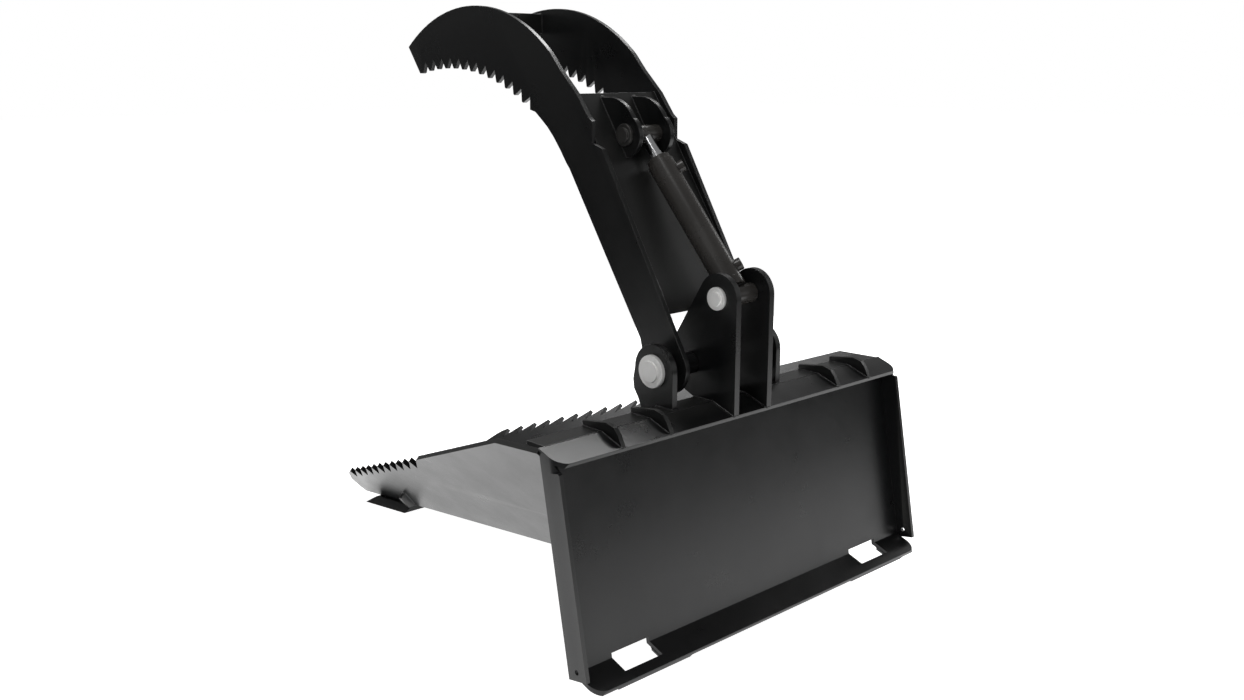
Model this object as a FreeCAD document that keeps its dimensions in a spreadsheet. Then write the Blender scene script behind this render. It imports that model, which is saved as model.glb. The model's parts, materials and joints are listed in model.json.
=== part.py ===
import FreeCAD, Part
import math
import os
import Sketcher
from FreeCAD import Placement, Rotation, Vector

# Skid steer stump bucket with a hydraulic grapple.
# Millimetres, +X to the right, +Y forward from the coupler plate to the nose, +Z up.
# The origin is the middle of the coupler plate's lower bend, on its machine side.
# The coupler plate leans forward at the top, the lugs stand upright, and the trough
# floor falls gently toward the nose. The grapple is drawn fully open.

os.makedirs("parts", exist_ok=True)
doc = FreeCAD.newDocument("stump_bucket")
sheet = doc.addObject("Spreadsheet::Sheet", "sizes")

SIZES = {
    # coupler plate: the universal skid steer interface
    "coupWidth": 1143, "coupHeight": 464, "coupThick": 9.5, "coupLean": 10.5,
    "lipAngle": 30, "topLip": 58, "lowLip": 69, "lipHalf": 558, "flangeDepth": 45,
    "slotInner": 352, "slotWide": 108, "slotAbove": 10, "slotRun": 43, "reliefDia": 11,
    "doublerInner": 284, "doublerWide": 212, "doublerThick": 6.3,
    # ledge plate over the rear of the trough, and the ribs on it
    "ledgeWidth": 1110, "ledgeTop": 459, "ledgeThick": 9.5, "ledgeFront": 154,
    "ribThick": 11, "ribTop": 480,
    # trough
    "floorPitch": 6, "floorUnder": 80, "floorThick": 9, "floorLong": 1341,
    "sideThick": 12.7, "sideGap": 102.6, "toothPitch": 57.9, "sideTeeth": 11,
    "sideHoleDia": 30, "edgeHalf": 239, "edgeRear": 1127, "edgeThick": 16,
    "edgeBevel": 25, "braceProud": 20, "lipCornerR": 32,
    # cylinder lugs
    "lugThick": 15.9, "lugOuter": 63.5, "basePinY": 84, "basePinZ": 698, "lugR": 56,
    # pivot ears, pins and bushings
    "earThick": 15.9, "earOuter": 184, "pivotY": 164, "pivotZ": 538, "earR": 60,
    "pivotPinDia": 38.1, "bushDia": 50, "runFit": 0.05, "endGap": 1,
    "pivotHeadDia": 75, "pivotHeadThick": 10, "pivotHubDia": 48,
    "basePinDia": 31.75, "rodPinDia": 25.4, "cylHeadDia": 52, "cylHeadThick": 8,
    "cylHubDia": 34, "hubThick": 5,
    # grapple arms
    "armThick": 12.7, "armOuter": 141, "armTeeth": 14, "armToothStep": 3.43,
    "armTipR": 617, "armArcY": 975, "armArcZ": 577, "crossThick": 9.5,
    "tieThick": 9.5, "tieTall": 50, "clevisThick": 12.7, "clevisOuter": 57,
    "rodPinY": 390, "rodPinZ": 1043.5, "clevisR": 48,
    # hydraulic cylinder, distances along its axis from the base pin
    "barrelDia": 63.5, "boreDia": 50.8, "capFrom": 18, "capLong": 20, "barrelEnd": 372,
    "glandDia": 57, "glandLong": 12, "glandSeat": 14, "rodDia": 31.75, "rodFrom": 70,
    "baseEyeDia": 46, "baseEyeHalf": 46, "rodEyeDia": 42, "rodEyeHalf": 43.5,
    "portDia": 29, "portTop": 45, "portFloor": 34, "portThreadDia": 17.5, "portLow": 62, "portHigh": 342,
}
for row, (alias, value) in enumerate(SIZES.items(), start=1):
    sheet.set("A%d" % row, alias)
    sheet.set("B%d" % row, str(value))
    sheet.setAlias("B%d" % row, alias)
doc.recompute()
BIG = 3000


def size(alias):
    return float(sheet.get(alias))


def bound(item, prop, words, value):
    """Set a property and bind it to sheet names written as $name."""
    setattr(item, prop, value)
    item.setExpression(prop, words.replace("$", "<<sizes>>."))


def plane_of(owner, role):
    return [o for o in owner.Origin.OriginFeatures if o.Role == role][0]


def new_body(label):
    made = doc.addObject("PartDesign::Body", label)
    made.Label = label
    return made


def sketch_on(owner, role, shift=(0, 0, 0), turn=0):
    """Sketch on one of the body's own planes, shifted and turned within it."""
    made = owner.newObject("Sketcher::SketchObject", owner.Name + "_sketch")
    made.AttachmentSupport = [(plane_of(owner, role), "")]
    made.MapMode = "FlatFace"
    made.AttachmentOffset = Placement(Vector(*shift), Rotation(Vector(0, 0, 1), turn))
    return made


def draw(sketch, path):
    """Closed outline of (x, y) corners. A third number is the radius of the arc that
    leaves the corner; it bulges to the left of the way of travel when positive."""
    corners = [Vector(p[0], p[1], 0) for p in path]
    for i, entry in enumerate(path):
        start, end = corners[i], corners[(i + 1) % len(path)]
        if len(entry) == 3:
            chord, radius = end - start, entry[2]
            left = Vector(-chord.y, chord.x, 0).normalize()
            rise = abs(radius) - math.sqrt(radius ** 2 - (chord.Length / 2) ** 2)
            mid = (start + end) * 0.5 + left * math.copysign(rise, radius)
            sketch.addGeometry(Part.Arc(start, mid, end), False)
        else:
            sketch.addGeometry(Part.LineSegment(start, end), False)
    return sketch


def ring(sketch, x, y, alias, scale=1):
    """Circle whose diameter is bound to the sheet."""
    centre = Vector(x, y, 0)
    here = sketch.addGeometry(Part.Circle(centre, Vector(0, 0, 1), size(alias) / 2), False)
    rule = sketch.addConstraint(Sketcher.Constraint("Diameter", here, size(alias) * scale))
    sketch.setExpression("Constraints[%d]" % rule, "<<sizes>>.%s * %s" % (alias, scale))
    return sketch


def pad(owner, sketch, alias, centred=False, flip=False):
    made = owner.newObject("PartDesign::Pad", owner.Name + "_pad")
    made.Profile = sketch
    bound(made, "Length", "$" + alias, size(alias))
    made.SideType = "Symmetric" if centred else "One side"
    made.Reversed = flip
    sketch.Visibility = False
    return made


def pocket(owner, sketch):
    """Cut through everything, both ways from the sketch."""
    made = owner.newObject("PartDesign::Pocket", owner.Name + "_pocket")
    made.Profile = sketch
    made.Type = "ThroughAll"
    made.SideType = "Symmetric"
    return made


def cylinder(label, radius_words, long, base, way):
    """Round bar from base along way; the radius is bound to the sheet."""
    made = doc.addObject("Part::Cylinder", label)
    made.Label = label
    made.setExpression("Radius", radius_words.replace("$", "<<sizes>>."))
    made.Height = long
    made.Placement = Placement(base, Rotation(Vector(0, 0, 1), way))
    return made


def box(label, x, y, z, at, rotation=Rotation()):
    made = doc.addObject("Part::Box", label)
    made.Length, made.Width, made.Height = x, y, z
    made.Placement = Placement(at, rotation)
    return made


def boolean(kind, label, first, others):
    """Cut the others from the first, or fuse them all."""
    if kind == "fuse":
        made = doc.addObject("Part::MultiFuse", label)
        made.Shapes = [first] + others
    else:
        made = doc.addObject("Part::Cut", label)
        made.Base = first
        tool = others[0]
        if len(others) > 1:
            tool = boolean("fuse", label + "_tools", others[0], others[1:])
        made.Tool = tool
    made.Refine = True
    made.Label = label
    return made


def on_circle(y, z, radius, degrees):
    angle = math.radians(degrees)
    return (y + radius * math.cos(angle), z + radius * math.sin(angle))


def tangent(y, z, radius, outside, side):
    """Point where a line from outside touches the circle; side is +1 or -1."""
    dy, dz = outside[0] - y, outside[1] - z
    half = math.degrees(math.acos(radius / math.hypot(dy, dz)))
    return on_circle(y, z, radius, math.degrees(math.atan2(dz, dy)) + side * half)


NODES = []


def done(item):
    NODES.append(item)
    return item


X = Vector(1, 0, 0)
# cutting tools run this far past what they cut, and this far past a sheet's end
PAST, END_PAST = 20, 2
LEFT, RIGHT = ("left", -1), ("right", 1)

# ------------------------------------------------------------------ coupler plate
# One bent sheet, drawn in its own upright frame and then leaned forward.
lean = math.radians(size("coupLean"))
LEANED = Placement(Vector(), Rotation(Vector(-1, 0, 0), size("coupLean")))
lip_cos, lip_sin = (f(math.radians(size("lipAngle"))) for f in (math.cos, math.sin))
tall, thick = size("coupHeight"), size("coupThick")


def leaned(y, z):
    """World (y, z) of a point given in the coupler plate's own frame."""
    return (y * math.cos(lean) + z * math.sin(lean), z * math.cos(lean) - y * math.sin(lean))


def down_lip(run, depth, top=0):
    """Point a run down a lip from its bend and a depth below the lip's upper face."""
    return (-run * lip_cos + depth * lip_sin, top - run * lip_sin - depth * lip_cos)


bend_low = thick * math.tan(math.radians((90 - size("lipAngle")) / 2))
bend_top = thick * math.tan(math.radians(size("lipAngle")))
coupler = new_body("coupler_plate")
wall = sketch_on(coupler, "YZ_Plane")
draw(wall, [(0, 0), (0, tall - thick / lip_cos), down_lip(size("topLip"), thick, tall),
            down_lip(size("topLip"), 0, tall), (thick, tall + bend_top), (thick, -bend_low)])
pad(coupler, wall, "coupWidth", centred=True)
lip = sketch_on(coupler, "YZ_Plane")
draw(lip, [(0, 0), down_lip(size("lowLip"), 0), down_lip(size("lowLip"), thick),
           (thick, -bend_low)])
lip_pad = pad(coupler, lip, "lipHalf", centred=True)
bound(lip_pad, "Length", "$lipHalf * 2", size("lipHalf") * 2)
deep = size("flangeDepth")
FLANGE_LOW, FLANGE_DROP, FLANGE_ROUND = -10, 48, 40
flange = sketch_on(coupler, "YZ_Plane", (0, 0, size("coupWidth") / 2 - thick))
draw(flange, [(thick, FLANGE_LOW), (thick, tall), down_lip(6, 0, tall),
              down_lip(32, 0, tall) + (FLANGE_ROUND,), (-deep, tall - FLANGE_DROP),
              (-deep, FLANGE_LOW)])
flange_pad = pad(coupler, flange, "coupThick")
other = coupler.newObject("PartDesign::Mirrored", "coupler_other_flange")
other.Originals = [flange_pad]
other.MirrorPlane = (plane_of(coupler, "YZ_Plane"), [""])
coupler.Tip = other
relief = ring(sketch_on(coupler, "YZ_Plane"), -18, 9, "reliefDia")
pocket(coupler, relief)


def round_corner(end, edge_y, radius):
    """What a round corner leaves off a sheet that ends at x = end and y = edge_y."""
    return [(end, edge_y + radius, radius), (end - radius, edge_y),
            (end - radius, edge_y - PAST), (end + END_PAST, edge_y - PAST),
            (end + END_PAST, edge_y + radius)]


# the lower lip's outer corners are round
CORNER_TOP = -5
lip_edge_y, corner_r = down_lip(size("lowLip"), 0)[0], size("lipCornerR")
corner = draw(sketch_on(coupler, "XY_Plane", (0, 0, CORNER_TOP)),
              round_corner(size("lipHalf"), lip_edge_y, corner_r))
corner_cut = coupler.newObject("PartDesign::Pocket", "coupler_lip_corner")
corner_cut.Profile = corner
bound(corner_cut, "Length", "$lowLip", size("lowLip"))
corners = coupler.newObject("PartDesign::Mirrored", "coupler_lip_corners")
corners.Originals = [corner_cut]
corners.MirrorPlane = (plane_of(coupler, "YZ_Plane"), [""])
coupler.Tip = corners
# so are the upper lip's, together with the tops of the flanges
top_edge_y = down_lip(size("topLip"), 0)[0]
crown = draw(sketch_on(coupler, "XY_Plane", (0, 0, tall - deep)),
             round_corner(size("coupWidth") / 2, top_edge_y, corner_r))
crown_cut = coupler.newObject("PartDesign::Pocket", "coupler_crown")
crown_cut.Profile = crown
bound(crown_cut, "Length", "$lowLip", size("lowLip"))
crown_cut.Reversed = True
crowns = coupler.newObject("PartDesign::Mirrored", "coupler_crowns")
crowns.Originals = [crown_cut]
crowns.MirrorPlane = (plane_of(coupler, "YZ_Plane"), [""])
coupler.Tip = crowns
SLOT_FOOT, SLOT_DEEP = -42, 30
SLOT_TOOL = [(thick + END_PAST, size("slotAbove")), (-SLOT_DEEP, size("slotAbove")),
             down_lip(size("slotRun"), -PAST / 2), down_lip(size("slotRun"), SLOT_DEEP),
             (thick + END_PAST, SLOT_FOOT)]
slot = draw(sketch_on(coupler, "YZ_Plane", (0, 0, size("slotInner"))), SLOT_TOOL)
slot_cut = coupler.newObject("PartDesign::Pocket", "coupler_slot")
slot_cut.Profile = slot
bound(slot_cut, "Length", "$slotWide", size("slotWide"))
slot_cut.Reversed = True
slots = coupler.newObject("PartDesign::Mirrored", "coupler_slots")
slots.Originals = [slot_cut]
slots.MirrorPlane = (plane_of(coupler, "YZ_Plane"), [""])
coupler.Tip = slots
coupler.Placement = LEANED
done(coupler)

# everything behind the plate's front face, for trimming what butts against it
behind = box("behind_coupler", BIG, BIG, BIG, Vector())
behind.Placement = LEANED.multiply(Placement(Vector(-BIG / 2, thick - BIG, -BIG / 2),
                                             Rotation()))

# doubler plates under the lower lip, open around the lock-pin slots
DOUBLER_SHORT, DOUBLER_SET = 12, 1
for side, sign in (LEFT, RIGHT):
    plate = box("doubler_blank_" + side, size("doublerWide"), size("lowLip") - DOUBLER_SHORT,
                size("doublerThick"), Vector())
    bound(plate, "Length", "$doublerWide", size("doublerWide"))
    bound(plate, "Height", "$doublerThick", size("doublerThick"))
    corner = down_lip(size("lowLip") - DOUBLER_SET, thick + size("doublerThick"))
    low_x = size("doublerInner") if sign > 0 else -size("doublerInner") - size("doublerWide")
    tilt = Placement(Vector(low_x, corner[0], corner[1]), Rotation(X, size("lipAngle")))
    plate.Placement = LEANED.multiply(tilt)
    gap = box("doubler_gap_" + side, size("slotWide"), size("slotRun") + PAST, 3 * PAST, Vector())
    start = down_lip(size("slotRun"), 2 * PAST)
    slot_x = size("slotInner") if sign > 0 else -size("slotInner") - size("slotWide")
    gap.Placement = LEANED.multiply(
        Placement(Vector(slot_x, start[0], start[1]), Rotation(X, size("lipAngle"))))
    done(boolean("cut", "slot_doubler_" + side, plate, [gap]))

# ------------------------------------------------------------------ ledge and ribs
ledge_low = size("ledgeTop") - size("ledgeThick")
ledge_blank = box("ledge_blank", size("ledgeWidth"), size("ledgeFront"), size("ledgeThick"),
                  Vector(-size("ledgeWidth") / 2, 0, ledge_low))
bound(ledge_blank, "Length", "$ledgeWidth", size("ledgeWidth"))
bound(ledge_blank, "Height", "$ledgeThick", size("ledgeThick"))
done(boolean("cut", "ledge_plate", ledge_blank, [behind]))

LIP_EDGE = leaned(*down_lip(size("topLip"), 0, tall))
LIP_BEND = leaned(thick, tall + bend_top)
ON_LIP = [LIP_EDGE, LIP_BEND, (LIP_BEND[0], size("ledgeTop"))]
rib_top, ledge_z = size("ribTop"), size("ledgeTop")
for name, centre in (("left_outer", -398), ("left_inner", -257),
                     ("right_inner", 322), ("right_outer", 447)):
    rib = new_body("lip_rib_" + name)
    outline = draw(sketch_on(rib, "YZ_Plane"), ON_LIP + [
        (size("ledgeFront"), ledge_z), (size("ledgeFront"), ledge_z + 12),
        (80, rib_top + 1), (56, rib_top - 5), (44, rib_top - 18)])
    pad(rib, outline, "ribThick", centred=True)
    rib.Placement = Placement(Vector(centre, 0, 0), Rotation())
    done(rib)

# ------------------------------------------------------------------ trough
# The trough has its own frame: run along the floor, height square to the floor.
PITCHED = Rotation(X, -size("floorPitch"))
below = box("below_floor", BIG, BIG, BIG, Vector())
below.Placement = Placement(Vector(), PITCHED).multiply(
    Placement(Vector(-BIG / 2, -BIG / 2, size("floorUnder") - BIG), Rotation()))
under = size("floorUnder")
floor_half = size("sideGap") + under
floor_top = under + size("floorThick")
floor = new_body("floor_plate")
end = draw(sketch_on(floor, "XZ_Plane"),
           [(-floor_half, under), (floor_half, under),
            (floor_half + size("floorThick"), floor_top),
            (-floor_half - size("floorThick"), floor_top)])
pad(floor, end, "floorLong", flip=True)
floor.Placement = Placement(Vector(), PITCHED)
done(boolean("cut", "trough_floor", floor, [behind]))

# side plates: run along the floor, rise up the 45 degree flare
SIDE_ZERO = 200
run_way = PITCHED.multVec(Vector(0, 1, 0))
rise_up = PITCHED.multVec(Vector(0, 0, 1))
TOOTH_FRONT, TOOTH_REAR = Vector(1309, 136, 0), Vector(707, 344, 0)
SIDE_PATH = [(-20, -20), (-20, 525.6), (173, 542), (707, 344), (1309, 136), (1331, 124),
             (1347, 111), (1364, 94), (1381, 76), (1391, 50), (1397, 20), (1397, -20)]
edge_turn = math.degrees(math.atan2(TOOTH_REAR.y - TOOTH_FRONT.y,
                                    TOOTH_REAR.x - TOOTH_FRONT.x))
pitch_len = size("toothPitch")
HOOK, TOOTH_DEEP = 12.5, 31.7
BRACE_PATH = [(1084, 78), (1097, 78), (1133, 8), (1133, -20), (1120, -20), (1120, 6)]


def side_frame(sign, offset):
    """Placement whose x runs forward and y rises up one side's flare, offset outward
    from the inner face."""
    across = (X * sign + rise_up) * math.sqrt(0.5)
    outward = (X * sign - rise_up) * math.sqrt(0.5)
    base = across * SIDE_ZERO + outward * (size("sideGap") * math.sqrt(0.5) + offset)
    normal = run_way.cross(across)
    matrix = FreeCAD.Matrix(run_way.x, across.x, normal.x, base.x,
                            run_way.y, across.y, normal.y, base.y,
                            run_way.z, across.z, normal.z, base.z, 0, 0, 0, 1)
    return Placement(matrix)


for side, sign in (LEFT, RIGHT):
    plate = new_body("side_blank_" + side)
    pad(plate, draw(sketch_on(plate, "XY_Plane"), SIDE_PATH), "sideThick", flip=sign < 0)
    pocket(plate, ring(sketch_on(plate, "XY_Plane"), 321, 185, "sideHoleDia"))
    teeth = sketch_on(plate, "XY_Plane", (TOOTH_FRONT.x, TOOTH_FRONT.y, 0), edge_turn)
    draw(teeth, [(0, 0), (6, -3), (pitch_len - 6, -3), (pitch_len, 0), (-HOOK, TOOTH_DEEP)])
    first = pocket(plate, teeth)
    row = plate.newObject("PartDesign::LinearPattern", "side_teeth_" + side)
    row.Originals = [first]
    row.Direction = (teeth, ["H_Axis"])
    row.Mode = "Spacing"
    bound(row, "Offset", "$toothPitch", pitch_len)
    bound(row, "Occurrences", "$sideTeeth", int(size("sideTeeth")))
    plate.Tip = row
    plate.Placement = side_frame(sign, 0)
    done(boolean("cut", "side_plate_" + side, plate, [behind, below]))
    brace = new_body("brace_blank_" + side)
    pad(brace, draw(sketch_on(brace, "XY_Plane"), BRACE_PATH), "braceProud", flip=sign < 0)
    brace.Placement = side_frame(sign, size("sideThick"))
    done(boolean("cut", "wing_gusset_" + side, brace, [below]))

# cutting edge: a wide wear plate under the front of the floor, bevelled on three sides
edge = new_body("cutting_edge")
half, bevel, edge_low = size("edgeHalf"), size("edgeBevel"), under - size("edgeThick")
front = draw(sketch_on(edge, "XZ_Plane"), [(-half, edge_low), (half, edge_low),
                                           (half - bevel, under), (bevel - half, under)])
pad(edge, front, "floorLong", flip=True)
trim = sketch_on(edge, "YZ_Plane")
nose = size("floorLong")
draw(trim, [(nose - bevel, under + END_PAST), (nose - bevel, under), (nose, edge_low),
            (nose, edge_low - END_PAST), (nose + PAST, edge_low - END_PAST),
            (nose + PAST, under + END_PAST)])
pocket(edge, trim)
rear = draw(sketch_on(edge, "YZ_Plane"),
            [(-PAST, edge_low - END_PAST), (size("edgeRear"), edge_low - END_PAST),
             (size("edgeRear"), under + END_PAST), (-PAST, under + END_PAST)])
pocket(edge, rear)
edge.Placement = Placement(Vector(), PITCHED)
done(edge)

# ------------------------------------------------------------------ lugs and ears
base_y, base_z = size("basePinY"), size("basePinZ")
pivot_y, pivot_z = size("pivotY"), size("pivotZ")
rod_y, rod_z = size("rodPinY"), size("rodPinZ")
lug_r, ear_r = size("lugR"), size("earR")
FRONT_NORMAL, INNER_ROUND = 32, 70
lug_rear = base_y - lug_r
LUG_PATH = [(lug_rear, LIP_EDGE[1]), (lug_rear, base_z, lug_r),
            on_circle(base_y, base_z, lug_r, FRONT_NORMAL), (206, 609), (228, 573),
            on_circle(pivot_y, pivot_z, INNER_ROUND, 0) + (INNER_ROUND,),
            on_circle(pivot_y, pivot_z, INNER_ROUND, -62), (size("ledgeFront"), ledge_z),
            (LIP_BEND[0], ledge_z), LIP_BEND, LIP_EDGE]
EAR_PATH = [(pivot_y - ear_r, ledge_z), (pivot_y - ear_r, pivot_z, ear_r),
            (pivot_y, pivot_z + ear_r, ear_r), (pivot_y + ear_r, pivot_z), (230, 509),
            (227, 487), (213, 466), (203, 442), (size("ledgeFront"), 442),
            (size("ledgeFront"), ledge_z)]


def across(label, path, holes, outer, thick_alias, sign):
    """Upright plate across X, its outer face at the named distance from the middle."""
    made = new_body(label)
    pad(made, draw(sketch_on(made, "YZ_Plane"), path), thick_alias)
    for y, z, alias in holes:
        pocket(made, ring(sketch_on(made, "YZ_Plane"), y, z, alias))
    words = "$%s - $%s" % (outer, thick_alias) if sign > 0 else "-$" + outer
    made.setExpression("Placement.Base.x", words.replace("$", "<<sizes>>."))
    return made


# ------------------------------------------------------------------ grapple arm
arc_y, arc_z, tip_r = size("armArcY"), size("armArcZ"), size("armTipR")
TIP_FIRST, TIP_LAST = 78.1, 122.6
BACK_FOOT, INNER_FOOT = (380, 1015), (246, 567)
ARM_PATH = [tangent(pivot_y, pivot_z, ear_r, BACK_FOOT, 1), BACK_FOOT, (415, 1027),
            (415, 1076), (428, 1086), (468, 1137), (526, 1191), (562, 1230, 470),
            (1162, 1250), (1111, 1181), on_circle(arc_y, arc_z, tip_r, TIP_FIRST)
            + (-tip_r,), on_circle(arc_y, arc_z, tip_r, TIP_LAST), (622, 1092),
            (599, 1075), (577, 1058), (555, 1036), (530, 1006), (508, 976), (497, 964),
            (252, 592), INNER_FOOT, tangent(pivot_y, pivot_z, ear_r, INNER_FOOT, -1)
            + (ear_r,), (pivot_y, pivot_z - ear_r, ear_r)]
step = size("armToothStep")
# one gullet between teeth: depth past the tips, and the angles of its mouth and root
ROOT_DEEP, MOUTH, GULLET_FROM, GULLET_TO, GULLET_ROOT = 26, 0.5, 0.48, 3.44, 2.0


def from_arc(radius, degrees):
    return on_circle(0, 0, radius, degrees)


# rear face of the arm's cross plate: straight from the top, then bent back at its foot
CROSS_TOP, CROSS_FOLD, CROSS_END = Vector(485, 1138), Vector(195, 702), Vector(182, 655)


def on_web(z):
    """Point of the cross plate's rear face at a height."""
    share = (z - CROSS_FOLD.y) / (CROSS_TOP.y - CROSS_FOLD.y)
    return (CROSS_FOLD.x + share * (CROSS_TOP.x - CROSS_FOLD.x), z)


CLEVIS_PATH = [(377, 992), (359, 1006, size("clevisR")), (366, 1083, 97), (445, 1129),
               on_web(1129), on_web(992)]
for side, sign in (LEFT, RIGHT):
    lug = across("cylinder_lug_" + side, LUG_PATH, [(base_y, base_z, "basePinDia"),
                 (pivot_y, pivot_z, "pivotPinDia")], "lugOuter", "lugThick", sign)
    done(lug)
    ear = across("pivot_ear_" + side, EAR_PATH, [(pivot_y, pivot_z, "pivotPinDia")],
                 "earOuter", "earThick", sign)
    done(ear)
    arm = across("arm_plate_" + side, ARM_PATH, [(pivot_y, pivot_z, "bushDia")],
                 "armOuter", "armThick", sign)
    gullet = sketch_on(arm, "YZ_Plane", (arc_y, arc_z, 0))
    draw(gullet, [from_arc(tip_r - MOUTH, TIP_FIRST + GULLET_FROM),
                  from_arc(tip_r + ROOT_DEEP, TIP_FIRST + GULLET_ROOT),
                  from_arc(tip_r - MOUTH, TIP_FIRST + GULLET_TO)])
    first = pocket(arm, gullet)
    comb = arm.newObject("PartDesign::PolarPattern", "arm_teeth_" + side)
    comb.Originals = [first]
    comb.Axis = (gullet, ["N_Axis"])
    comb.Mode = "Spacing"
    bound(comb, "Offset", "$armToothStep", step)
    bound(comb, "Occurrences", "$armTeeth - 1", int(size("armTeeth")) - 1)
    arm.Tip = comb
    done(arm)
    done(across("clevis_lug_" + side, CLEVIS_PATH, [(rod_y, rod_z, "rodPinDia")],
                "clevisOuter", "clevisThick", sign))

cross = new_body("arm_cross_plate")


def ahead(point, start, end, away):
    way = (start - end).normalize()
    return (point.x + way.y * away, point.y - way.x * away)


web = size("crossThick")
fold_front = ((ahead(CROSS_FOLD, CROSS_TOP, CROSS_FOLD, web)[0]
               + ahead(CROSS_FOLD, CROSS_FOLD, CROSS_END, web)[0]) / 2,
              (ahead(CROSS_FOLD, CROSS_TOP, CROSS_FOLD, web)[1]
               + ahead(CROSS_FOLD, CROSS_FOLD, CROSS_END, web)[1]) / 2)
web_path = [(CROSS_TOP.x, CROSS_TOP.y), (CROSS_FOLD.x, CROSS_FOLD.y),
            (CROSS_END.x, CROSS_END.y), ahead(CROSS_END, CROSS_FOLD, CROSS_END, web),
            fold_front, ahead(CROSS_TOP, CROSS_TOP, CROSS_FOLD, web)]
web_pad = pad(cross, draw(sketch_on(cross, "YZ_Plane"), web_path), "crossThick", True)
inside = 2 * (size("armOuter") - size("armThick"))
bound(web_pad, "Length", "($armOuter - $armThick) * 2", inside)
done(cross)
tie = box("arm_tie_plate", inside, size("tieThick"), size("tieTall"),
          Vector(-inside / 2, 919, 1287))
tie.Label = "arm_tie_plate"
bound(tie, "Length", "($armOuter - $armThick) * 2", inside)
bound(tie, "Width", "$tieThick", size("tieThick"))
bound(tie, "Height", "$tieTall", size("tieTall"))
done(tie)

# ------------------------------------------------------------------ pins and bushings
def headed_pin(label, y, z, dia, head, hub, head_thick, start, end):
    """Pin along X from its inner end to the plate face under its head."""
    way = X if end > start else X * -1
    reach = size(head_thick)
    parts = [cylinder(label + "_shank", "$%s / 2" % dia, abs(end - start),
                      Vector(start, y, z), way),
             cylinder(label + "_head", "$%s / 2" % head, reach, Vector(end, y, z), way),
             cylinder(label + "_hub", "$%s / 2" % hub, size("hubThick"),
                      Vector(end, y, z) + way * reach, way)]
    return done(boolean("fuse", label, parts[0], parts[1:]))


lug_outer, ear_outer = size("lugOuter"), size("earOuter")
lug_inner, ear_inner = lug_outer - size("lugThick"), ear_outer - size("earThick")
clevis_inner = size("clevisOuter") - size("clevisThick")
TAIL = 10
headed_pin("base_pin", base_y, base_z, "basePinDia", "cylHeadDia", "cylHubDia",
           "cylHeadThick", lug_outer + TAIL, -lug_outer)
for side, sign in (LEFT, RIGHT):
    headed_pin("main_pin_" + side, pivot_y, pivot_z, "pivotPinDia", "pivotHeadDia",
               "pivotHubDia", "pivotHeadThick", sign * lug_inner, sign * ear_outer)
    headed_pin("rod_pin_" + side, rod_y, rod_z, "rodPinDia", "cylHeadDia", "cylHubDia",
               "cylHeadThick", sign * clevis_inner, sign * size("clevisOuter"))
    near, gap = lug_outer + size("endGap"), size("endGap")
    long = ear_inner - gap - near
    at = Vector(sign * near, pivot_y, pivot_z)
    bush = [cylinder("bush_wall_" + side, "$bushDia / 2", long, at, X * sign),
            cylinder("bush_bore_" + side, "$pivotPinDia / 2 + $runFit", long, at, X * sign)]
    done(boolean("cut", "pivot_bushing_" + side, bush[0], bush[1:]))

# ------------------------------------------------------------------ hydraulic cylinder
BASE, ROD_PIN = Vector(0, base_y, base_z), Vector(0, rod_y, rod_z)
stroke_way = (ROD_PIN - BASE).normalize()
pin_gap = (ROD_PIN - BASE).Length


def along(distance):
    return BASE + stroke_way * distance


def eye(label, centre, half, outer, bore):
    """Cross tube along X."""
    at = centre - X * size(half)
    wall = cylinder(label + "_wall", "$%s / 2" % outer, 2 * size(half), at, X)
    hole = cylinder(label + "_bore", "$%s / 2 + $runFit" % bore, 2 * size(half), at, X)
    return done(boolean("cut", label, wall, [hole]))


eye("barrel_base_eye", BASE, "baseEyeHalf", "baseEyeDia", "basePinDia")
cap = cylinder("cap_disc", "$barrelDia / 2", size("capLong"), along(size("capFrom")),
               stroke_way)
cap_seat = cylinder("cap_seat", "$baseEyeDia / 2", 2 * size("baseEyeHalf"),
                    BASE - X * size("baseEyeHalf"), X)
done(boolean("cut", "barrel_base_cap", cap, [cap_seat]))
tube_from = size("capFrom") + size("capLong")
tube_long = size("barrelEnd") - tube_from
tube = cylinder("tube_wall", "$barrelDia / 2", tube_long, along(tube_from), stroke_way)
bore = cylinder("tube_bore", "$boreDia / 2", tube_long, along(tube_from), stroke_way)
done(boolean("cut", "barrel_tube", tube, [bore]))
seat = size("glandSeat")
gland = boolean("fuse", "gland_blank",
                cylinder("gland_seat", "$boreDia / 2", seat,
                         along(size("barrelEnd") - seat), stroke_way),
                [cylinder("gland_rim", "$glandDia / 2", size("glandLong"),
                          along(size("barrelEnd")), stroke_way)])
gland_bore = cylinder("gland_bore", "$rodDia / 2 + $runFit", BIG / 10,
                      along(size("barrelEnd") - BIG / 20), stroke_way)
done(boolean("cut", "barrel_gland", gland, [gland_bore]))
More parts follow.
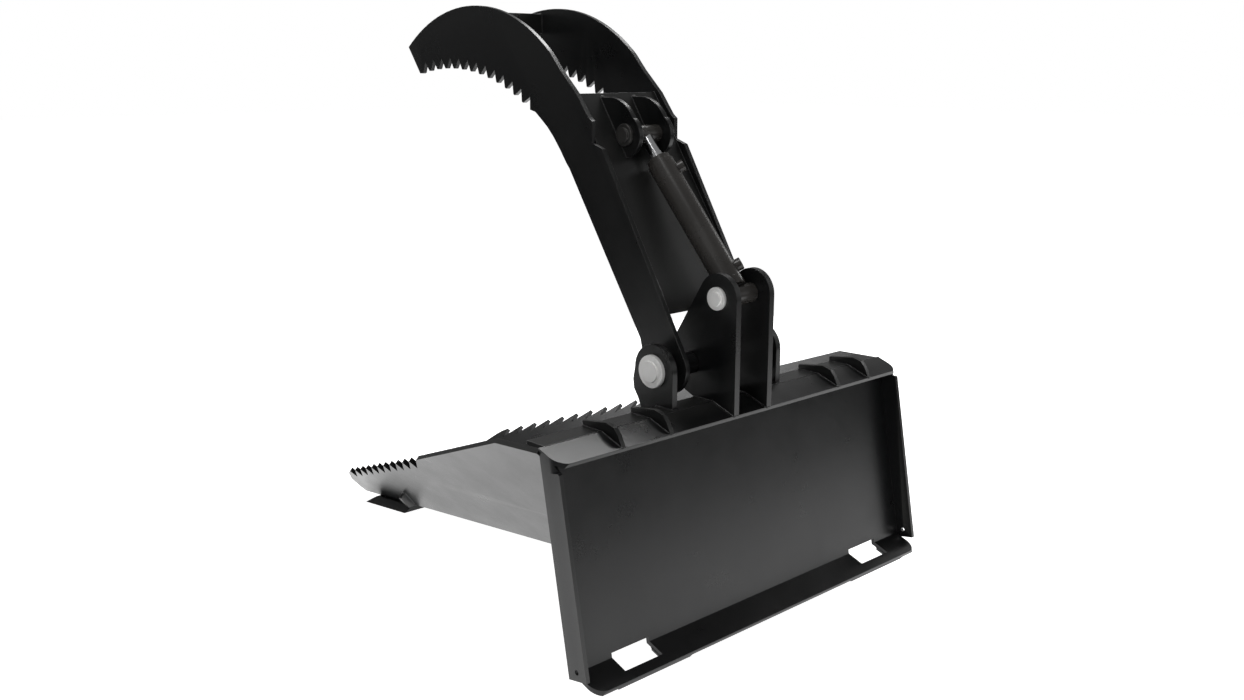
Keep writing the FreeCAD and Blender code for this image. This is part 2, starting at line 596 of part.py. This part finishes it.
# ports face half rearward, half to the right
rearward = X.cross(stroke_way)
port_way = (X + rearward).normalize()
for name, alias in (("low", "portLow"), ("high", "portHigh")):
    inner = size("boreDia") / 2
    at = along(size(alias)) + port_way * inner
    long = size("portTop") - inner
    boss = cylinder("port_blank_" + name, "$portDia / 2", long, at, port_way)
    thread = cylinder("port_thread_" + name, "$portThreadDia / 2", long,
                      along(size(alias)) + port_way * size("portFloor"), port_way)
    skin = cylinder("port_saddle_" + name, "$barrelDia / 2", BIG, along(-BIG / 2), stroke_way)
    done(boolean("cut", "port_boss_" + name, boss, [thread, skin]))
eye("rod_eye", ROD_PIN, "rodEyeHalf", "rodEyeDia", "rodPinDia")
rod = cylinder("rod_bar", "$rodDia / 2", pin_gap - size("rodFrom"), along(size("rodFrom")),
               stroke_way)
rod_seat = cylinder("rod_seat", "$rodEyeDia / 2", 2 * size("rodEyeHalf"),
                    ROD_PIN - X * size("rodEyeHalf"), X)
done(boolean("cut", "cylinder_rod", rod, [rod_seat]))

# ------------------------------------------------------------------ check and export
doc.recompute()
for item in doc.Objects:
    if "Invalid" in item.State or "Error" in item.State:
        raise RuntimeError("%s: %s" % (item.Label, item.State))
for node in NODES:
    if node.Shape.isNull() or not node.Shape.isValid():
        raise RuntimeError("bad shape: " + node.Label)
    node.Shape.exportStep("parts/%s.step" % node.Label)
    b = node.Shape.BoundBox
    print("%-22s %d solid %9.0f mm3  X %.0f..%.0f Y %.0f..%.0f Z %.0f..%.0f" % (
        node.Label, len(node.Shape.Solids), node.Shape.Volume, b.XMin, b.XMax, b.YMin,
        b.YMax, b.ZMin, b.ZMax))
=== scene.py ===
import json
import math

import bmesh
import bpy
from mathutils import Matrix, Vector
from mathutils.bvhtree import BVHTree


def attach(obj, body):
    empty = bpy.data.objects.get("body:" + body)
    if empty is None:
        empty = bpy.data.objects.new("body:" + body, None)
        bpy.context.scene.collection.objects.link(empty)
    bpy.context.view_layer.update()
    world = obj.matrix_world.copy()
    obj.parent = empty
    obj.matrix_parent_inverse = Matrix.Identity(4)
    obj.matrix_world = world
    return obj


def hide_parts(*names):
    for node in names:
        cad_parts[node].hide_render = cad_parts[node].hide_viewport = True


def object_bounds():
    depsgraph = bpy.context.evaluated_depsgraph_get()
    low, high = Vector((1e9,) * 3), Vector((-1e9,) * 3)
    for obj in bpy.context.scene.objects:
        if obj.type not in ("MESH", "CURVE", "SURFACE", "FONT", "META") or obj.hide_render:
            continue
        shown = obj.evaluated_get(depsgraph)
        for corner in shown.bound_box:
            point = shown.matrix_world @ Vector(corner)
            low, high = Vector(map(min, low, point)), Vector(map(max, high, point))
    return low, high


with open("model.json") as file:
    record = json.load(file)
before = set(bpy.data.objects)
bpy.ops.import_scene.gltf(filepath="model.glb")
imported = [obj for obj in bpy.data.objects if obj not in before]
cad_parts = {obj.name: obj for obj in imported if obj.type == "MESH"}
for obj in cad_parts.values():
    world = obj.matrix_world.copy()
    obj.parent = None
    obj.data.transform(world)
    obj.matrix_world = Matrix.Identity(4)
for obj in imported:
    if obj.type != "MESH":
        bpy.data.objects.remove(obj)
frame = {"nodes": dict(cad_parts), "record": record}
CAD_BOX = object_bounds()
NODES = frame["nodes"]

# Lengths in metres, in the frame the attachment was designed in.


# ------------------------------------------------------------------ materials
DUST_COLOUR = (0.22, 0.21, 0.2, 1)
CLOUD_SCALE, CLOUD_DETAIL, FINE_DETAIL = 7.0, 8.0, 5.0
# how far the clouds take the roughness below and above its middle, and the colour
SMOOTHER, ROUGHER, GLOSSIEST = 0.03, 0.05, 0.04
DARKER, LIGHTER = 0.82, 1.25
# pointiness where an edge starts to show wear, and where it is fully worn
WEAR_FROM, WEAR_FULL = 0.54, 0.62
# how far a face must look up before dust settles on it
DUST_FROM = 0.55
BUMP_HEIGHT = 0.0004


def material(name, base, metallic, rough, bump=0.0, grain=60.0, wear=None, wear_amount=0.0,
             dust=0.0, specular=0.5):
    """Finish with a fine grain, cloudy roughness, worn edges and settled dust."""
    made = bpy.data.materials.new(name)
    made.use_nodes = True
    tree = made.node_tree
    links = tree.links
    shader = tree.nodes["Principled BSDF"]
    shader.inputs["Metallic"].default_value = metallic
    shader.inputs["Specular IOR Level"].default_value = specular
    place = tree.nodes.new("ShaderNodeTexCoord")

    cloud = tree.nodes.new("ShaderNodeTexNoise")
    cloud.inputs["Scale"].default_value = CLOUD_SCALE
    cloud.inputs["Detail"].default_value = CLOUD_DETAIL
    cloud.inputs["Roughness"].default_value = 0.65
    links.new(place.outputs["Object"], cloud.inputs["Vector"])

    fine = tree.nodes.new("ShaderNodeTexNoise")
    fine.inputs["Scale"].default_value = grain
    fine.inputs["Detail"].default_value = FINE_DETAIL
    links.new(place.outputs["Object"], fine.inputs["Vector"])

    gloss = tree.nodes.new("ShaderNodeMapRange")
    gloss.inputs["From Min"].default_value = 0.3
    gloss.inputs["From Max"].default_value = 0.7
    gloss.inputs["To Min"].default_value = max(rough - SMOOTHER, GLOSSIEST)
    gloss.inputs["To Max"].default_value = min(rough + ROUGHER, 1.0)
    links.new(cloud.outputs["Fac"], gloss.inputs["Value"])
    links.new(gloss.outputs["Result"], shader.inputs["Roughness"])

    tint = tree.nodes.new("ShaderNodeMix")
    tint.data_type = "RGBA"
    tint.inputs["A"].default_value = [c * DARKER for c in base] + [1]
    tint.inputs["B"].default_value = [min(c * LIGHTER, 1) for c in base] + [1]
    links.new(cloud.outputs["Fac"], tint.inputs["Factor"])
    colour = tint.outputs["Result"]

    if wear:
        edge = tree.nodes.new("ShaderNodeNewGeometry")
        sharp = tree.nodes.new("ShaderNodeMapRange")
        sharp.inputs["From Min"].default_value = WEAR_FROM
        sharp.inputs["From Max"].default_value = WEAR_FULL
        sharp.inputs["To Max"].default_value = wear_amount
        links.new(edge.outputs["Pointiness"], sharp.inputs["Value"])
        broken = tree.nodes.new("ShaderNodeMath")
        broken.operation = "MULTIPLY"
        links.new(sharp.outputs["Result"], broken.inputs[0])
        links.new(fine.outputs["Fac"], broken.inputs[1])
        rub = tree.nodes.new("ShaderNodeMix")
        rub.data_type = "RGBA"
        rub.inputs["B"].default_value = list(wear) + [1]
        links.new(broken.outputs["Value"], rub.inputs["Factor"])
        links.new(colour, rub.inputs["A"])
        colour = rub.outputs["Result"]

    if dust:
        face = tree.nodes.new("ShaderNodeNewGeometry")
        split = tree.nodes.new("ShaderNodeSeparateXYZ")
        links.new(face.outputs["Normal"], split.inputs["Vector"])
        upward = tree.nodes.new("ShaderNodeMapRange")
        upward.inputs["From Min"].default_value = DUST_FROM
        upward.inputs["From Max"].default_value = 1.0
        upward.inputs["To Max"].default_value = dust
        links.new(split.outputs["Z"], upward.inputs["Value"])
        settle = tree.nodes.new("ShaderNodeMath")
        settle.operation = "MULTIPLY"
        links.new(upward.outputs["Result"], settle.inputs[0])
        links.new(cloud.outputs["Fac"], settle.inputs[1])
        powder = tree.nodes.new("ShaderNodeMix")
        powder.data_type = "RGBA"
        powder.inputs["B"].default_value = DUST_COLOUR
        links.new(settle.outputs["Value"], powder.inputs["Factor"])
        links.new(colour, powder.inputs["A"])
        colour = powder.outputs["Result"]
    links.new(colour, shader.inputs["Base Color"])

    if bump:
        relief = tree.nodes.new("ShaderNodeBump")
        relief.inputs["Strength"].default_value = bump
        relief.inputs["Distance"].default_value = BUMP_HEIGHT
        links.new(fine.outputs["Fac"], relief.inputs["Height"])
        links.new(relief.outputs["Normal"], shader.inputs["Normal"])
    return made


PAINT = material("black_powder_coat", (0.0032, 0.0034, 0.0037), 0.0, 0.29, bump=0.35,
                 grain=420.0, wear=(0.09, 0.09, 0.085), wear_amount=0.6, dust=0.02,
                 specular=0.42)
WELD = material("painted_weld", (0.006, 0.006, 0.0065), 0.0, 0.3, bump=0.7, grain=160.0,
                specular=0.5)
ENAMEL = material("cylinder_enamel", (0.03, 0.028, 0.026), 0.0, 0.26, bump=0.2,
                  grain=260.0, wear=(0.12, 0.1, 0.09), wear_amount=0.35, dust=0.03,
                  specular=0.45)
ZINC = material("zinc_plate", (0.88, 0.87, 0.84), 0.35, 0.34, bump=0.25, grain=900.0)
OILED = material("dark_pin_steel", (0.1, 0.098, 0.095), 0.8, 0.36, bump=0.35, grain=300.0,
                 wear=(0.35, 0.3, 0.26), wear_amount=0.5)
CHROME = material("chrome_rod", (0.78, 0.79, 0.81), 1.0, 0.12, bump=0.08, grain=700.0)
FINISH = {"black_powder_coat": PAINT, "zinc_plate": ZINC, "dark_pin": OILED,
          "cylinder_paint": ENAMEL, "chrome_rod": CHROME}
for part in frame["record"]["subparts"]:
    obj = NODES[part["node"]]
    for socket in obj.material_slots:
        socket.material = FINISH[part["material_slot"]]


# ------------------------------------------------------------------ eased edges
ROUND_BELOW, BEVEL_ABOVE = 30, 32
SAME_POINT, FLAT_WITHIN = 1e-6, 0.3


def smooth_below(mesh, degrees):
    """Round shading across gentle edges, a crisp line at the rest."""
    work = bmesh.new()
    work.from_mesh(mesh)
    for face in work.faces:
        face.smooth = True
    for edge in work.edges:
        paired = len(edge.link_faces) == 2
        edge.smooth = paired and edge.calc_face_angle(0) < math.radians(degrees)
    work.to_mesh(mesh)
    work.free()


def clean_copy(node):
    """The node's mesh with its flat faces joined up again."""
    work = bmesh.new()
    work.from_mesh(NODES[node].data)
    bmesh.ops.remove_doubles(work, verts=work.verts, dist=SAME_POINT)
    bmesh.ops.dissolve_limit(work, angle_limit=math.radians(FLAT_WITHIN), verts=work.verts,
                             edges=work.edges)
    return work


def eased(node, width, finish, body):
    """Stands in for a CAD node, with its sawn edges taken off."""
    mesh = bpy.data.meshes.new(node + "_eased")
    work = clean_copy(node)
    work.to_mesh(mesh)
    work.free()
    obj = bpy.data.objects.new(node + "_eased", mesh)
    bpy.context.scene.collection.objects.link(obj)
    mesh.materials.clear()
    mesh.materials.append(finish)
    smooth_below(mesh, ROUND_BELOW)
    bevel = obj.modifiers.new("eased", "BEVEL")
    bevel.width = width
    bevel.segments = 2
    bevel.limit_method = "ANGLE"
    bevel.angle_limit = math.radians(BEVEL_ABOVE)
    bevel.harden_normals = True
    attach(obj, body)
    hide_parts(node)
    return obj


BODY_OF = {node: body for body, members in frame["record"]["behaviour"]["bodies"].items()
           for node in members}
SLOT_OF = {part["node"]: part["material_slot"] for part in frame["record"]["subparts"]}
PLATE_EDGE = 0.0014
FINE_EDGE = {"cylinder_paint": 0.0006, "chrome_rod": 0.0006, "zinc_plate": 0.001,
             "dark_pin": 0.001}
for node, body in BODY_OF.items():
    slot = SLOT_OF[node]
    piece = eased(node, FINE_EDGE.get(slot, PLATE_EDGE), FINISH[slot], body)


# ------------------------------------------------------------------ weld beads
# where along an edge it must lie on the other node's skin, and how near
PROBES, REACH = (0.0, 0.35, 0.5, 0.8, 1.0), 0.0006
BEAD_SIDES, BEAD_SCALE, BEAD_PACE, BEAD_TIP = 8, 0.75, 0.55, 0.4
# any direction that no seam runs along
SKEW = Vector((0.31, 0.52, 0.79))


def seam_lines(first, second, reach):
    """Chains of the first node's edges that lie on the second node's skin."""
    skin = bmesh.new()
    skin.from_mesh(NODES[second].data)
    tree = BVHTree.FromBMesh(skin)
    work = clean_copy(first)
    touching = {}
    for edge in work.edges:
        a, b = edge.verts[0].co, edge.verts[1].co
        if all(tree.find_nearest(a.lerp(b, t), reach)[0] for t in PROBES):
            for here, there in ((edge.verts[0], edge.verts[1]),
                                (edge.verts[1], edge.verts[0])):
                touching.setdefault(here.index, []).append(there.index)
    spots = [v.co.copy() for v in work.verts]
    work.free()
    skin.free()
    lines = []
    while touching:
        ends = [v for v, near in touching.items() if len(near) == 1]
        here = min(ends) if ends else min(touching)
        line = [here]
        while touching.get(here):
            there = touching[here].pop(0)
            touching[there].remove(here)
            line.append(there)
            here = there
        for v in [v for v, near in touching.items() if not near]:
            del touching[v]
        if len(line) > 1:
            lines.append([spots[v] for v in line])
    return lines


def bead(name, line, radius, body):
    """Rippled bead along a line."""
    stops, pace = [], radius * BEAD_PACE
    for a, b in zip(line, line[1:]):
        steps = max(1, round((b - a).length / pace))
        stops += [a.lerp(b, i / steps) for i in range(steps)]
    stops.append(line[-1])
    if len(stops) < 4:
        return None
    work = bmesh.new()
    rings = []
    for i, spot in enumerate(stops):
        way = (stops[min(i + 1, len(stops) - 1)] - stops[max(i - 1, 0)])
        if way.length < 1e-9:
            continue
        way.normalize()
        side = way.cross(SKEW)
        side.normalize()
        other = way.cross(side)
        swell = radius * (0.88 + 0.1 * math.sin(i * 2.4) + 0.05 * math.sin(i * 0.37))
        if i in (0, len(stops) - 1):
            swell *= BEAD_TIP
        rings.append([work.verts.new(spot + side * swell * math.cos(t) + other * swell
                                     * math.sin(t))
                      for t in [k * math.tau / BEAD_SIDES for k in range(BEAD_SIDES)]])
    for one, two in zip(rings, rings[1:]):
        for k in range(BEAD_SIDES):
            after = (k + 1) % BEAD_SIDES
            work.faces.new((one[k], one[after], two[after], two[k]))
    work.faces.new(rings[0][::-1])
    work.faces.new(rings[-1])
    bmesh.ops.recalc_face_normals(work, faces=work.faces)
    mesh = bpy.data.meshes.new(name)
    for face in work.faces:
        face.smooth = True
    work.to_mesh(mesh)
    work.free()
    mesh.materials.append(WELD)
    obj = bpy.data.objects.new(name, mesh)
    bpy.context.scene.collection.objects.link(obj)
    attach(obj, body)
    return obj


SIDES = ("left", "right")
SEAMS = [("ledge_plate", "coupler_plate", 0.0025), ("trough_floor", "coupler_plate", 0.003),
         ("arm_cross_plate", "arm_plate_left", 0.0035),
         ("arm_cross_plate", "arm_plate_right", 0.0035),
         ("arm_tie_plate", "arm_plate_left", 0.003),
         ("arm_tie_plate", "arm_plate_right", 0.003),
         ("port_boss_low", "barrel_tube", 0.0018), ("port_boss_high", "barrel_tube", 0.0018),
         ("barrel_base_cap", "barrel_base_eye", 0.003)]
for side in SIDES:
    SEAMS += [("cylinder_lug_" + side, "coupler_plate", 0.004),
              ("cylinder_lug_" + side, "ledge_plate", 0.004),
              ("pivot_ear_" + side, "ledge_plate", 0.004),
              ("trough_floor", "side_plate_" + side, 0.004),
              ("side_plate_" + side, "coupler_plate", 0.004),
              ("wing_gusset_" + side, "side_plate_" + side, 0.003),
              ("slot_doubler_" + side, "coupler_plate", 0.0025),
              ("clevis_lug_" + side, "arm_cross_plate", 0.0035),
              ("arm_plate_" + side, "pivot_bushing_" + side, 0.0035)]
    for place in ("outer", "inner"):
        rib = "lip_rib_%s_%s" % (side, place)
        SEAMS += [(rib, "coupler_plate", 0.003), (rib, "ledge_plate", 0.003)]
for first, second, radius in SEAMS:
    for i, line in enumerate(seam_lines(first, second, REACH)):
        bead("weld_%s_%s_%d" % (first, second, i), line, radius * BEAD_SCALE,
             BODY_OF[first])


# ------------------------------------------------------------------ stage
def area(name, at, aim, size, power):
    lamp = bpy.data.lights.new(name, "AREA")
    lamp.shape = "RECTANGLE"
    lamp.size, lamp.size_y = size, size
    lamp.energy = power
    obj = bpy.data.objects.new(name, lamp)
    bpy.context.scene.collection.objects.link(obj)
    obj.location = at
    obj.rotation_euler = (Vector(aim) - Vector(at)).to_track_quat("-Z", "Y").to_euler()
    return obj


MIDDLE = (0, 0.6, 0.5)
FAR, FLOOR_GAP, CARD_GAP = 30, 0.002, 0.004
floor_low = CAD_BOX[0][2] - FLOOR_GAP
mesh = bpy.data.meshes.new("stage_floor")
mesh.from_pydata([(-FAR, -FAR, floor_low), (FAR, -FAR, floor_low), (FAR, FAR, floor_low),
                  (-FAR, FAR, floor_low)], [], [(0, 1, 2, 3)])
ground = bpy.data.objects.new("stage_floor", mesh)
bpy.context.scene.collection.objects.link(ground)
paper = material("stage_paper", (0.9, 0.9, 0.9), 0.0, 0.9)
mesh.materials.append(paper)
glow = paper.node_tree.nodes["Principled BSDF"]
glow.inputs["Emission Color"].default_value = (1, 1, 1, 1)
glow.inputs["Emission Strength"].default_value = 1.0

# dark cards round the lit patch of floor, seen only in the object's reflections
PATCH = ((-1.7, -1.9), (2.8, 2.6))
(x0, y0), (x1, y1) = PATCH
card_z = floor_low + CARD_GAP
cards = bpy.data.meshes.new("stage_cards")
cards.from_pydata([(-FAR, -FAR, card_z), (FAR, -FAR, card_z), (FAR, FAR, card_z),
                   (-FAR, FAR, card_z), (x0, y0, card_z), (x1, y0, card_z),
                   (x1, y1, card_z), (x0, y1, card_z)], [],
                  [(0, 1, 5, 4), (1, 2, 6, 5), (2, 3, 7, 6), (3, 0, 4, 7)])
surround = bpy.data.objects.new("stage_cards", cards)
bpy.context.scene.collection.objects.link(surround)
cards.materials.append(material("stage_card_black", (0.02, 0.02, 0.02), 0.0, 0.95))
surround.visible_camera = False

world = bpy.data.worlds.new("studio")
bpy.context.scene.world = world
world.use_nodes = True
# a white backdrop behind the object, and a dimmer room around it
backdrop = world.node_tree.nodes["Background"]
backdrop.inputs["Color"].default_value = (1, 1, 1, 1)
sight = world.node_tree.nodes.new("ShaderNodeLightPath")
ROOM, BACKDROP = 0.2, 1.0
level = world.node_tree.nodes.new("ShaderNodeMapRange")
level.inputs["To Min"].default_value = ROOM
level.inputs["To Max"].default_value = BACKDROP
world.node_tree.links.new(sight.outputs["Is Camera Ray"], level.inputs["Value"])
world.node_tree.links.new(level.outputs["Result"], backdrop.inputs["Strength"])
bpy.context.scene.view_settings.view_transform = "Standard"
area("key", (2.8, -4.0, 1.9), MIDDLE, 2.6, 14)
area("front", (0.2, 4.4, 3.4), MIDDLE, 1.6, 60)
area("right", (4.5, -0.5, 2.0), MIDDLE, 2.0, 50)
area("top", (-1.5, 0.2, 4.5), MIDDLE, 1.6, 45)
area("left", (-4.0, -1.6, 2.4), MIDDLE, 1.4, 34)
area("edge", (2.2, 1.6, 4.6), MIDDLE, 1.5, 90)

cam_data = bpy.data.cameras.new("camera")
cam_data.lens = 35.0
cam_data.sensor_width = 36.0
camera = bpy.data.objects.new("camera", cam_data)
bpy.context.scene.collection.objects.link(camera)
camera.location = (-2.0162, -1.7032, 1.2012)
camera.rotation_euler = (math.radians(76.767), 0, math.radians(-42.926))
bpy.context.scene.camera = camera
